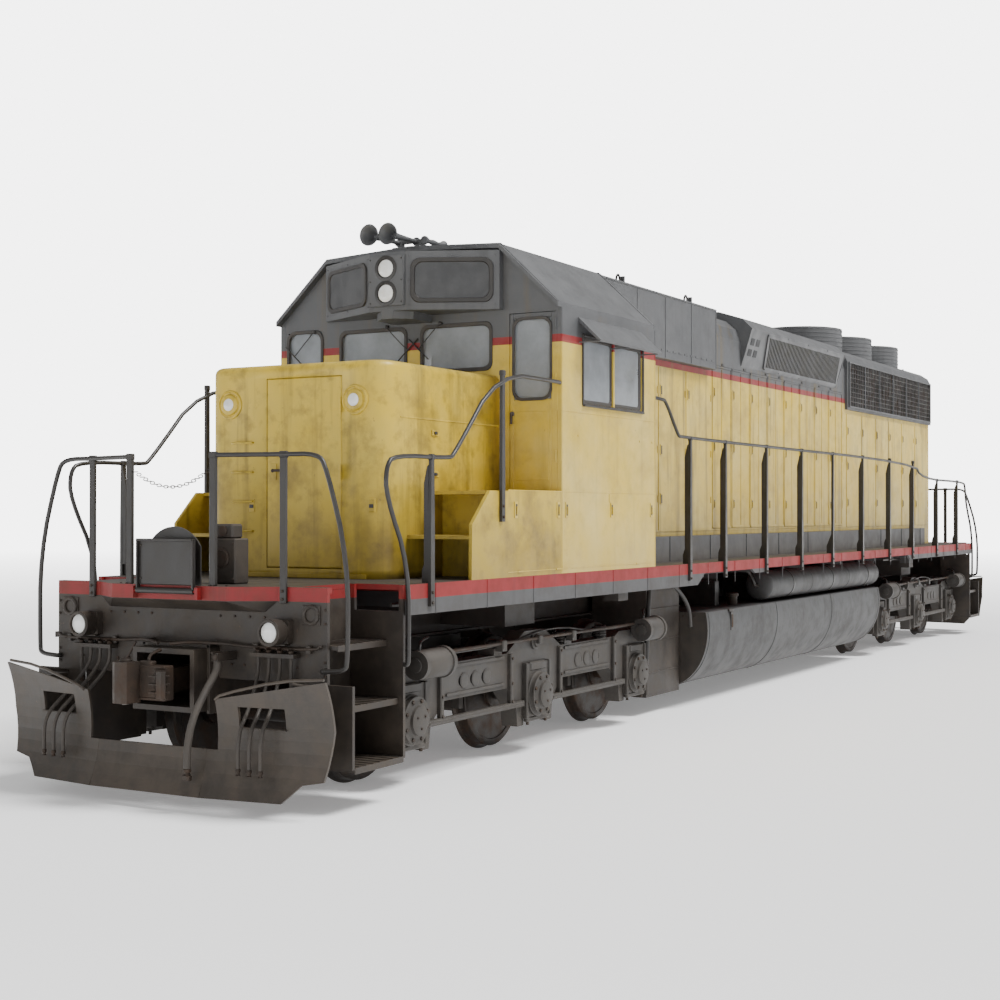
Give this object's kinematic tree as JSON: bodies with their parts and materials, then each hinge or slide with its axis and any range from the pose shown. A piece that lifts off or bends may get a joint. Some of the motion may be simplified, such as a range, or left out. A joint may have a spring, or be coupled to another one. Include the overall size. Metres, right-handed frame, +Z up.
{
  "type": "diesel road-switcher locomotive",
  "caption": "Heavy diesel freight locomotive with low nose, full-width cab, narrow hood, long porches and two swivelling three-axle trucks.",
  "frame": {"origin": "mid-length on the centreline, on the floor under the wheel flanges", "axes": "+X forward towards the cab end, +Y to the left side, +Z up"},
  "size_m": [20.98, 3.6, 5.0139],
  "materials": {
    "yellow_paint": "satin",
    "grey_paint": "satin",
    "frame_black": "matte",
    "truck_grey": "matte",
    "tank_silver": "satin",
    "cast_steel": "matte",
    "glass": "gloss",
    "hose_rubber": "matte",
    "seat_fabric": "matte",
    "machinery_grey": "satin"
  },
  "bodies": {
    "locomotive_body": {"underframe": "frame_black", "front_pilot": "frame_black", "rear_pilot": "frame_black", "front_plow": "frame_black", "rear_plow": "frame_black", "fuel_tank": "tank_silver", "air_reservoirs": "tank_silver", "equipment_boxes": "frame_black", "battery_boxes": "yellow_paint", "cab_shell": "yellow_paint", "cab_roof": "grey_paint", "cab_glass": "glass", "cab_seats": "seat_fabric", "control_stand": "machinery_grey", "window_awnings": "grey_paint", "headlight_housing": "grey_paint", "air_horns": "grey_paint", "nose_shell": "yellow_paint", "hood_shell": "yellow_paint", "air_filter_hatch": "grey_paint", "dynamic_brake_hatch": "grey_paint", "radiator_section": "grey_paint", "fan_housings": "grey_paint", "engine_block": "machinery_grey", "walkway_ducts": "grey_paint", "hood_doors_left": "yellow_paint", "hood_doors_right": "yellow_paint", "handrails_left": "frame_black", "handrails_right": "frame_black", "end_handrails": "frame_black", "ditch_lights": "cast_steel", "rear_headlight": "grey_paint", "air_hoses": "hose_rubber", "hose_couplings": "cast_steel"},
    "nose_door": {"nose_door": "yellow_paint"},
    "cab_front_door": {"cab_front_door": "yellow_paint"},
    "cab_rear_door": {"cab_rear_door": "yellow_paint"},
    "engine_door_left": {"engine_door_left": "yellow_paint"},
    "engine_door_right": {"engine_door_right": "yellow_paint"},
    "front_drop_step": {"front_drop_step": "frame_black"},
    "rear_drop_step": {"rear_drop_step": "frame_black"},
    "radiator_fan_1": {"radiator_fan_1": "cast_steel"},
    "radiator_fan_2": {"radiator_fan_2": "cast_steel"},
    "radiator_fan_3": {"radiator_fan_3": "cast_steel"},
    "front_coupler": {"front_coupler": "cast_steel"},
    "rear_coupler": {"rear_coupler": "cast_steel"},
    "front_truck": {"front_truck_frame": "truck_grey", "front_truck_axle_boxes": "truck_grey", "front_truck_motors": "truck_grey", "front_truck_brakes": "truck_grey"},
    "front_wheelset_1": {"front_wheelset_1": "cast_steel"},
    "front_wheelset_2": {"front_wheelset_2": "cast_steel"},
    "front_wheelset_3": {"front_wheelset_3": "cast_steel"},
    "rear_truck": {"rear_truck_frame": "truck_grey", "rear_truck_axle_boxes": "truck_grey", "rear_truck_motors": "truck_grey", "rear_truck_brakes": "truck_grey"},
    "rear_wheelset_1": {"rear_wheelset_1": "cast_steel"},
    "rear_wheelset_2": {"rear_wheelset_2": "cast_steel"},
    "rear_wheelset_3": {"rear_wheelset_3": "cast_steel"}
  },
  "joints": [
    {"name": "front_truck_swivel", "type": "hinge", "parent": "locomotive_body", "child": "front_truck", "pos_m": [6.6, 0, 1.004], "axis": [0, 0, 1], "range_deg": [-4, 4]},
    {"name": "front_wheelset_1_roll", "type": "hinge", "parent": "front_truck", "child": "front_wheelset_1", "pos_m": [8.72, 0, 0.537], "axis": [0, 1, 0], "continuous": true},
    {"name": "front_wheelset_2_roll", "type": "hinge", "parent": "front_truck", "child": "front_wheelset_2", "pos_m": [6.6, 0, 0.537], "axis": [0, 1, 0], "continuous": true},
    {"name": "front_wheelset_3_roll", "type": "hinge", "parent": "front_truck", "child": "front_wheelset_3", "pos_m": [4.48, 0, 0.537], "axis": [0, 1, 0], "continuous": true},
    {"name": "rear_truck_swivel", "type": "hinge", "parent": "locomotive_body", "child": "rear_truck", "pos_m": [-6.6, 0, 1.004], "axis": [0, 0, 1], "range_deg": [-4, 4]},
    {"name": "rear_wheelset_1_roll", "type": "hinge", "parent": "rear_truck", "child": "rear_wheelset_1", "pos_m": [-4.48, 0, 0.537], "axis": [0, 1, 0], "continuous": true},
    {"name": "rear_wheelset_2_roll", "type": "hinge", "parent": "rear_truck", "child": "rear_wheelset_2", "pos_m": [-6.6, 0, 0.537], "axis": [0, 1, 0], "continuous": true},
    {"name": "rear_wheelset_3_roll", "type": "hinge", "parent": "rear_truck", "child": "rear_wheelset_3", "pos_m": [-8.72, 0, 0.537], "axis": [0, 1, 0], "continuous": true},
    {"name": "front_coupler_swing", "type": "hinge", "parent": "locomotive_body", "child": "front_coupler", "pos_m": [9.55, 0, 0.919], "axis": [0, 0, 1], "range_deg": [-7, 7]},
    {"name": "rear_coupler_swing", "type": "hinge", "parent": "locomotive_body", "child": "rear_coupler", "pos_m": [-9.55, 0, 0.919], "axis": [0, 0, 1], "range_deg": [-7, 7]},
    {"name": "radiator_fan_1_spin", "type": "hinge", "parent": "locomotive_body", "child": "radiator_fan_1", "pos_m": [-4.4, 0, 4.839], "axis": [0, 0, 1], "continuous": true},
    {"name": "radiator_fan_2_spin", "type": "hinge", "parent": "locomotive_body", "child": "radiator_fan_2", "pos_m": [-6, 0, 4.839], "axis": [0, 0, 1], "continuous": true},
    {"name": "radiator_fan_3_spin", "type": "hinge", "parent": "locomotive_body", "child": "radiator_fan_3", "pos_m": [-7.6, 0, 4.839], "axis": [0, 0, 1], "continuous": true},
    {"name": "nose_door_hinge", "type": "hinge", "parent": "locomotive_body", "child": "nose_door", "pos_m": [8.588, 0.507, 2.509], "axis": [0, 0, 1], "range_deg": [0, 90]},
    {"name": "cab_front_door_hinge", "type": "hinge", "parent": "locomotive_body", "child": "cab_front_door", "pos_m": [6.685, 1.517, 3.179], "axis": [0, 0, 1], "range_deg": [0, 90]},
    {"name": "cab_rear_door_hinge", "type": "hinge", "parent": "locomotive_body", "child": "cab_rear_door", "pos_m": [4.612, -1.517, 3.179], "axis": [0, 0, 1], "range_deg": [0, 90]},
    {"name": "engine_door_left_hinge", "type": "hinge", "parent": "locomotive_body", "child": "engine_door_left", "pos_m": [-1.138, 0.914, 2.974], "axis": [0, 0, 1], "range_deg": [0, 90]},
    {"name": "engine_door_right_hinge", "type": "hinge", "parent": "locomotive_body", "child": "engine_door_right", "pos_m": [-1.138, -0.914, 2.974], "axis": [0, 0, -1], "range_deg": [0, 90]},
    {"name": "front_drop_step_hinge", "type": "hinge", "parent": "locomotive_body", "child": "front_drop_step", "pos_m": [10.13, 0, 1.589], "axis": [0, 1, 0], "range_deg": [0, 90]},
    {"name": "rear_drop_step_hinge", "type": "hinge", "parent": "locomotive_body", "child": "rear_drop_step", "pos_m": [-10.13, 0, 1.589], "axis": [0, -1, 0], "range_deg": [0, 90]}
  ]
}
